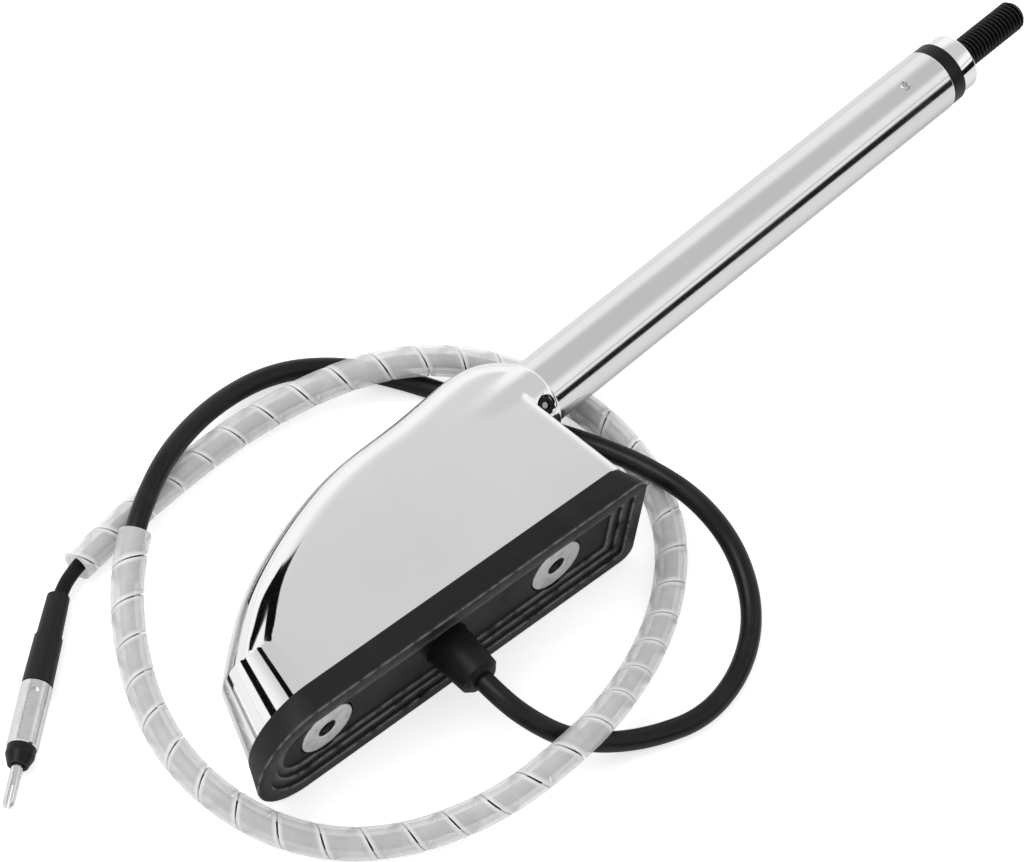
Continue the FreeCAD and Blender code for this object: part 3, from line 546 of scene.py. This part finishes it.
# unplated bosses: turned face with a broken edge; the tapped hole's radius is a saw wave of depth,
# down to its floor
boss = {
    "spots": (-43.0, 43.0), "top": 9.5, "face": 2.6, "radius": 9.0, "edge": 0.35,
    "hole": 2.5, "pitch": 1.0, "groove": 0.3, "floor": 12.0, "mouth": 0.7, "mouthEdge": 0.2, "around": 96,
}
bossLine = roundedLine([
    (boss["top"], boss["radius"], 0), (boss["face"], boss["radius"], boss["edge"]),
    (boss["face"], boss["hole"] + boss["mouth"], boss["mouthEdge"]), (boss["face"] + boss["mouth"], boss["hole"], 0),
])
depth = np.arange(boss["face"] + boss["mouth"] + 0.1, boss["floor"], 0.1)
saw = np.abs(2 * ((depth / boss["pitch"]) % 1.0) - 1) * boss["groove"]
bossAlong = np.concatenate([bossLine[:, 0], depth, [boss["floor"], boss["floor"]]])
bossRadius = np.concatenate([bossLine[:, 1], boss["hole"] - saw, [boss["hole"], 0.05]])
for k, spot in enumerate(boss["spots"]):
    place = Matrix.Translation((spot, 0, 0)) @ Matrix.Rotation(math.radians(90), 4, "Z")
    wall = spunPiece("castBoss%d" % (k + 1), bossAlong, bossRadius, place, castFace, boss["around"])
    # the tapped hole's walls take black steel: painted shade down the hole
    secondFinish(wall, blackSteelAndShade, np.repeat(bossRadius[1:] < boss["hole"] + 0.3, boss["around"]))
print("turned pieces made")

# rubber seat: a profile of inset and height carried round the outline, flared from crest to foot,
# then drilled
seat = {
    "foot": (20.2, -50.2, 73.8), "crest": (19.4, -46.8, 70.8), "height": 9.0, "corner": 5.0, "leastCorner": 1.2,
    "profile": [(14.0, 9.0, 0), (0.0, 9.0, 0.4), (0.0, 0.0, 0.9), (5.0, 0.0, 0.6), (5.0, 1.1, 0.4), (8.2, 1.1, 0.5),
                (8.2, 2.1, 0.4), (11.0, 2.1, 0.4), (11.0, 2.9, 0.35), (14.0, 2.9, 0)],
    "lips": [2, 3, 5, 7], "holes": [(-43.0, 9.5), (43.0, 9.5), (1.3, 7.3)],
}


def seatLoops(half, toe, heel, corner):
    # round toe, lower side, two rounded heel corners, upper side; one loop for each row
    half, toe, heel, corner = [value[:, None] for value in (half, toe, heel, corner)]
    side = np.linspace(0, 1, 42)[1:-1]
    toeTurn = np.linspace(0.5, 1.5, 61) * math.pi
    lowTurn, highTurn = np.linspace(-0.5, 0, 10) * math.pi, np.linspace(0, 0.5, 10) * math.pi
    reach, inner = heel - corner, half - corner
    x = [toe + half * np.cos(toeTurn), toe + (reach - toe) * side, reach + corner * np.cos(lowTurn),
         heel + 0 * side, reach + corner * np.cos(highTurn), reach + (toe - reach) * side]
    z = [half * np.sin(toeTurn), -half + 0 * side, -inner + corner * np.sin(lowTurn),
         inner * (2 * side - 1), inner + corner * np.sin(highTurn), half + 0 * side]
    return np.concatenate(x, axis=1), np.concatenate(z, axis=1)


def seatBlock():
    inset, height = roundedLine(seat["profile"]).T
    flare = np.where((inset < 2.5) | (height > 5), height / seat["height"], 0.0)
    half, toe, heel = [foot + (crest - foot) * flare for foot, crest in zip(seat["foot"], seat["crest"])]
    corner = np.maximum(seat["leastCorner"], seat["corner"] - inset)
    x, z = seatLoops(half - inset, toe, heel - inset, corner)
    rows, columns = x.shape
    spots = np.stack([x, np.repeat(height[:, None], columns, 1), z], -1).reshape(-1, 3)
    faces = gridFaces(rows, columns, closeColumns=True).tolist()
    faces.append(list(range(columns)))
    faces.append(list(range((rows - 1) * columns, rows * columns)))
    made = meshObject("baseGasket", spots * 0.001, faces, rubber)
    # painted highlight: a mark that is 1 at the step edges and fades out within about 0.7 mm
    lips = np.array([corner[:2] for corner in seat["profile"]])[seat["lips"]]
    near = np.hypot(inset[:, None] - lips[:, 0], height[:, None] - lips[:, 1]).min(axis=1)
    edgeSheen = made.data.attributes.new("edgeSheen", "FLOAT", "POINT")
    edgeSheen.data.foreach_set("value", np.repeat(np.clip(1.7 - near / 0.4, 0, 1), columns))
    return made


def drilled(piece, holes):
    # straight holes square to the mounting face
    cutters = []
    for x, radius in holes:
        place = Matrix.Translation((x, 0, 0)) @ Matrix.Rotation(math.radians(90), 4, "Z")
        spots = spunSpots(np.array((-2.0, 12.0)), np.array((radius, radius)), 96).reshape(-1, 3)
        faces = gridFaces(2, 96, closeColumns=True).tolist() + [list(range(96)), list(range(96, 192))]
        cutter = meshObject("drill", placed(spots, place), faces, rubber)
        hole = piece.modifiers.new("hole", "BOOLEAN")
        hole.object = cutter
        cutters.append(cutter)
    whole = piece.evaluated_get(bpy.context.evaluated_depsgraph_get())
    cut = bpy.data.meshes.new_from_object(whole)
    piece.modifiers.clear()
    piece.data = cut
    for cutter in cutters:
        bpy.data.objects.remove(cutter)
    cut.set_sharp_from_angle(angle=math.radians(40))
    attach(piece, "root")
    return piece


seatPiece = drilled(seatBlock(), seat["holes"])
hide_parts("base_gasket")
print("seat made", len(seatPiece.data.polygons))

# casting: flanks lean in, a round arch joins them, and its crest is a row of reaches from a point on the seat
casting = {
    "fan": (40.0, 9.0), "toeReach": 106.0, "halfWidth": 19.2, "draft": 10.9, "heel": 70.0, "lip": 77.6,
    "socket": 11.6, "socketRoot": 44.0, "socketSwell": (44.0, 72.0, 0.9), "sunk": 0.5,
    "heelRound": 1.0, "rearRound": 2.2, "lipRound": 1.4, "socketBlend": 0.9,
    "core": (62.0, 42.0, 0.0), "farReach": 160.0, "halvings": 34,
    "rows": 400, "columns": 220, "plainRun": (-38.0, 52.0), "rearStart": 58.0,
    "trial": {"turns": 2400, "lifts": 900, "crowd": 1.6, "smooth": 25, "sizePull": 0.3, "bendPull": 12.0},
    "roll": {"share": 0.5, "heelEnd": 73.0, "heelShare": 0.25, "least": 0.15, "most": 2.4},
    "stations": [(12.3, 100.2), (18.8, 93.1), (25.3, 87.1), (34.0, 79.5), (46.8, 70.5), (62.3, 63.4), (83.6, 58.2),
                 (101.9, 60.9), (117.0, 65.6), (132.0, 64.5), (150.0, 66.0), (180.0, 70.0)],
    "grub": {"station": 73.5, "way": (0.0, -0.7071, 0.7071), "radius": 3.0, "depth": 2.4},
}


def splineThrough(stations):
    # natural cubic: second slopes come from one row of equations per inner station
    at, value = np.array(stations).T
    step = np.diff(at)
    slope = np.diff(value) / step
    matrix = np.eye(len(at))
    wanted = np.zeros(len(at))
    for k in range(1, len(at) - 1):
        matrix[k, k - 1:k + 2] = step[k - 1], 2 * (step[k - 1] + step[k]), step[k]
        wanted[k] = 6 * (slope[k] - slope[k - 1])
    bend = np.linalg.solve(matrix, wanted)

    def curve(angle):
        k = np.clip(np.searchsorted(at, angle) - 1, 0, len(at) - 2)
        low, high, width = at[k + 1] - angle, angle - at[k], step[k]
        ends = (value[k] * low + value[k + 1] * high) / width
        sag = bend[k] * (low ** 3 / width - low * width) + bend[k + 1] * (high ** 3 / width - high * width)
        return ends + sag / 6
    return curve


spineReach = splineThrough(casting["stations"])
creaseAngle = math.radians(casting["stations"][0][0])
creaseSpot = np.array((-math.cos(creaseAngle), math.sin(creaseAngle))) * casting["stations"][0][1]
toeWay = creaseSpot - np.array((-casting["toeReach"], 0.0))
toeSquare = np.array((-toeWay[1], toeWay[0])) / np.linalg.norm(toeWay)


def crestReach(angle):
    # straight from the seat to the crease, then the spline
    lookSquare = -np.cos(angle) * toeSquare[0] + np.sin(angle) * toeSquare[1]
    straight = (creaseSpot @ toeSquare) / np.maximum(lookSquare, 0.05)
    return np.where(angle < creaseAngle, straight, spineReach(np.degrees(angle)))


def softMax(first, second, width):
    share = np.clip(0.5 + 0.5 * (first - second) / width, 0, 1)
    return second + (first - second) * share + width * share * (1 - share)


def archDistance(spots):
    # distance outside the leaning flanks and the arch that touches both
    x, y, z = spots[..., 0] - casting["fan"][0], spots[..., 1] - casting["fan"][1], np.abs(spots[..., 2])
    angle = np.arctan2(y, -x)
    angle = np.where(angle < -1.0, angle + 2 * math.pi, angle)
    reach = np.hypot(x, y)
    crest = crestReach(angle)
    fall = np.sin(angle) * math.tan(math.radians(casting["draft"]))
    radius = (casting["halfWidth"] - fall * crest) / (np.sqrt(1 + fall ** 2) - fall)
    tilt = np.arctan(fall)
    beyond = reach - (crest - radius)
    flank = z * np.cos(tilt) + reach * np.sin(tilt) - casting["halfWidth"] * np.cos(tilt)
    return np.where(beyond > z * fall, np.hypot(beyond, z) - radius, flank)


def formDistance(spots):
    # arch cut by the heel below the mast axis and by the lip above it, joined to the round mast socket
    # that swells out of it
    lean = math.radians(mast["lean"])
    x, y, z = spots[..., 0], spots[..., 1] - mast["root"][1], spots[..., 2]
    along = x * math.cos(lean) + y * math.sin(lean)
    above = y * math.cos(lean) - x * math.sin(lean)
    lip = along - casting["lip"]
    rear = np.maximum(lip, -softMax(casting["heel"] - x, above, casting["heelRound"]))
    block = softMax(archDistance(spots), rear, casting["rearRound"])
    start, end, rise = casting["socketSwell"]
    share = np.clip((along - start) / (end - start), 0, 1)
    radius = casting["socket"] - rise * (1 - share * share * (3 - 2 * share))
    socket = softMax(np.hypot(above, z) - radius, lip - 0.3, casting["lipRound"])
    socket = np.maximum(socket, casting["socketRoot"] - along)
    return -softMax(-block, -socket, casting["socketBlend"])


def castingDistance(spots):
    # cut square, a little below the crest of the rubber
    return np.maximum(formDistance(spots), casting["fan"][1] - casting["sunk"] - spots[..., 1])


def surfaceSpots(ways):
    # along each way from the core, halve the step until the distance is nil
    core = np.array(casting["core"])
    low = np.zeros(ways.shape[:-1])
    high = np.full(ways.shape[:-1], casting["farReach"])
    for k in range(casting["halvings"]):
        middle = (low + high) / 2
        outside = castingDistance(core + ways * middle[..., None]) > 0
        high = np.where(outside, middle, high)
        low = np.where(outside, low, middle)
    return core + ways * high[..., None]


def evenShares(measure, count):
    # positions that split a running measure into equal parts
    run = np.concatenate([[0.0], np.cumsum(measure)])
    return np.interp(np.linspace(0, run[-1], count), run, np.arange(len(run)))


def castingGrid():
    trial = casting["trial"]
    turn = np.linspace(0, 2 * math.pi, trial["turns"])
    flat = surfaceSpots(np.stack([np.cos(turn), np.sin(turn), np.zeros_like(turn)], -1))
    middle = (flat[1:] + flat[:-1]) / 2
    # few rows for the plain run of the underside, more for the rear
    first, last = casting["plainRun"]
    under = middle[:, 1] < casting["fan"][1] - casting["sunk"] + 0.05
    under &= (middle[:, 0] > first) & (middle[:, 0] < last)
    pull = np.where(under, 0.08, np.where(middle[:, 0] > casting["rearStart"], 2.4, 1.0))
    measure = np.linalg.norm(np.diff(flat, axis=0), axis=1) * pull
    rowTurn = np.interp(evenShares(measure, casting["rows"] + 1)[:-1], np.arange(len(turn)), turn)
    # lifts crowd towards the spine; each row is then split by its own length and bend
    lift = np.linspace(-math.pi / 2, math.pi / 2, trial["lifts"])
    lift = np.sign(lift) * (math.pi / 2) * (np.abs(lift) / (math.pi / 2)) ** trial["crowd"]
    rows = []
    for angle in rowTurn:
        ways = np.stack([np.cos(lift) * math.cos(angle), np.cos(lift) * math.sin(angle), np.sin(lift)], -1)
        dense = surfaceSpots(ways)
        step = np.diff(dense, axis=0)
        size = np.linalg.norm(step, axis=1) + 1e-9
        bendCos = (step[1:] * step[:-1]).sum(1) / (size[1:] * size[:-1])
        bend = np.concatenate([[0.0], np.arccos(np.clip(bendCos, -1, 1))])
        bend = np.convolve(bend, np.ones(trial["smooth"]) / trial["smooth"], "same")
        place = evenShares(size * trial["sizePull"] + bend * trial["bendPull"], casting["columns"])
        lifts = np.interp(place, np.arange(len(lift)), lift)
        rows.append(np.stack([np.cos(lifts) * math.cos(angle), np.cos(lifts) * math.sin(angle), np.sin(lifts)], -1))
    return surfaceSpots(np.array(rows))


def slopeOf(spots):
    # outward way from distances either side, taken wider on the broad forms so that bends roll softly,
    # but not at the crease or the heel
    roll = casting["roll"]
    x, y = spots[..., 0] - casting["fan"][0], spots[..., 1] - casting["fan"][1]
    fromCrease = np.abs(np.arctan2(y, -x) - creaseAngle) * np.hypot(x, y)
    fromHeel = roll["heelEnd"] - spots[..., 0]
    wide = np.minimum(fromCrease * roll["share"], fromHeel * roll["heelShare"])
    wide = np.clip(wide, roll["least"], roll["most"])[..., None]
    parts = []
    for k in range(3):
        shift = np.zeros(3)
        shift[k] = 1.0
        parts.append(formDistance(spots + shift * wide) - formDistance(spots - shift * wide))
    slope = np.stack(parts, -1)
    return slope / np.linalg.norm(slope, axis=-1)[..., None]


def castingShell():
    spots = castingGrid()
    rows, columns = spots.shape[:2]
    spots = spots.reshape(-1, 3)
    slope = slopeOf(spots)
    grub = casting["grub"]
    hole = acrossPlace(grub["station"], grub["way"])
    local = (spots - np.array(hole.translation)) @ np.array(hole.to_3x3())
    off = np.hypot(local[:, 1], local[:, 2])
    sink = np.clip((grub["radius"] + 0.25 - off) / 0.5, 0, 1) * (local[:, 0] > 0)
    spots = spots - np.array(hole.to_3x3())[:, 0] * (sink * grub["depth"])[:, None]
    faces = gridFaces(rows, columns, closeRows=True)
    made = meshObject("baseCasting", spots * 0.001, faces.tolist(), chrome)
    # the pocket round the grub screw takes black steel: painted shade in the hole
    secondFinish(made, blackSteelAndShade, (sink[faces] > 0.5).sum(1) >= 2)
    normals = np.where((sink <= 0)[:, None], slope, 0.0)
    made.data.normals_split_custom_set_from_vertices([tuple(way) for way in normals])
    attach(made, "root")
    return made


castingPiece = castingShell()
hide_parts("base_housing")
print("casting made", len(castingPiece.data.polygons))

# floor: pale, white to the camera, and keeps a soft shadow
floorLevel = -0.0202


def floorMaterial():
    made, shader, place = startMaterial("paleFloor")
    tree = made.node_tree
    path = tree.nodes.new("ShaderNodeLightPath")
    seen = Tap(tree, path.outputs["Is Camera Ray"])
    through = Tap(tree, path.outputs["Is Transmission Ray"])
    soft = place.noise(8.0, 2.0)
    setSockets(shader, place, Base_Color=soft.blend(grey(0.84), grey(0.86)), Roughness=0.8)
    glow = place.node("ShaderNodeEmission", None, {"Color": grey(1.0), "Strength": 0.55})
    lit = place.node("ShaderNodeAddShader", None, {0: Tap(tree, shader.outputs[0]), 1: glow})
    share = place.maths("MINIMUM", seen + through, 1.0)
    both = place.node("ShaderNodeMixShader", None, {0: share, 1: Tap(tree, shader.outputs[0]), 2: lit})
    tree.links.new(both.socket, tree.nodes["Material Output"].inputs["Surface"])
    return made


span = 2.5
corners = [(x * span, y * span, floorLevel) for x, y in ((-1, -1), (1, -1), (1, 1), (-1, 1))]
floor = meshObject("floor", corners, [(0, 1, 2, 3)], floorMaterial(), False)

# room: pale to plain light; what the metal sees has a grey ceiling, a few dark bars
# and a dark strip of wall on the near side
room = bpy.data.worlds.new("room")
room.use_nodes = True
scene.world = room
tree = room.node_tree
way = Tap(tree, tree.nodes.new("ShaderNodeTexCoord").outputs["Generated"])
path = tree.nodes.new("ShaderNodeLightPath")
glossy = Tap(tree, path.outputs["Is Glossy Ray"])
roomBars = [
    ((63.0, 39.0), (76.5, 29.6), 3.0), ((72.5, 31.2), (95.3, 7.4), 2.3),
    ((92.2, 36.6), (98.8, 45.4), 3.8), ((113.6, 14.0), (130.4, 22.0), 5.6),
]


def sight(turn, lift):
    turn, lift = math.radians(turn), math.radians(lift)
    return np.array((math.cos(lift) * math.cos(turn), math.cos(lift) * math.sin(turn), math.sin(lift)))


def towards(direction):
    return way.node("ShaderNodeVectorMath", {"operation": "DOT_PRODUCT"}, {0: way, 1: tuple(direction)}, "Value")


def strut(first, second, width, sideBlur=0.006, endBlur=0.01):
    # a dark bar of the room, as wide as given each side of the line between two sights
    first, second = sight(*first), sight(*second)
    square = np.cross(first, second)
    square /= np.linalg.norm(square)
    across, lean = towards(square), math.sin(math.radians(width))
    inside = across.between(-lean - sideBlur, sideBlur - lean)
    inside = inside * (1.0 - across.between(lean - sideBlur, lean + sideBlur))
    ahead = towards(np.cross(square, first)).between(-endBlur, endBlur)
    behind = towards(np.cross(second, square)).between(-endBlur, endBlur)
    return inside * ahead * behind


roomLevels = {"pale": 1.25, "ceiling": 0.80, "seam": 0.7, "wall": 0.01, "bar": 0.005, "strength": 0.8}
height = way.axis("Z")
nearSide = 1.0 - way.axis("Y").between(-0.35, -0.1)
wallBand = height.between(-0.02, 0.02) * (1.0 - height.between(0.28, 0.36)) * nearSide
seam = height.between(0.44, 0.46) * (1.0 - height.between(0.48, 0.52)) * nearSide
ceiling = height.between(0.42, 0.70) * (1.0 - nearSide) + height.between(0.66, 0.84) * nearSide
seen = ceiling.blend(grey(roomLevels["pale"]), grey(roomLevels["ceiling"]))
seen = seam.blend(seen, grey(roomLevels["seam"]))
seen = wallBand.blend(seen, grey(roomLevels["wall"]))
for bar in roomBars:
    seen = strut(*bar).blend(seen, grey(roomLevels["bar"]))
paint = glossy.blend(grey(1.0), seen)
tree.links.new(paint.socket, tree.nodes["Background"].inputs["Color"])
tree.nodes["Background"].inputs["Strength"].default_value = roomLevels["strength"]


def panel(name, spot, aim, width, power):
    lamp = bpy.data.lights.new(name, "AREA")
    lamp.shape = "SQUARE"
    lamp.size = width
    lamp.energy = power
    made = bpy.data.objects.new(name, lamp)
    made.location = spot
    made.rotation_euler = (Vector(aim) - Vector(spot)).to_track_quat("-Z", "Y").to_euler()
    scene.collection.objects.link(made)


softPanel = {"spot": (-0.5, 0.6, 1.3), "aim": (0.05, 0.03, 0.0), "width": 0.9, "power": 8.0}
panel("softPanel", **softPanel)
print("room and lamps set")
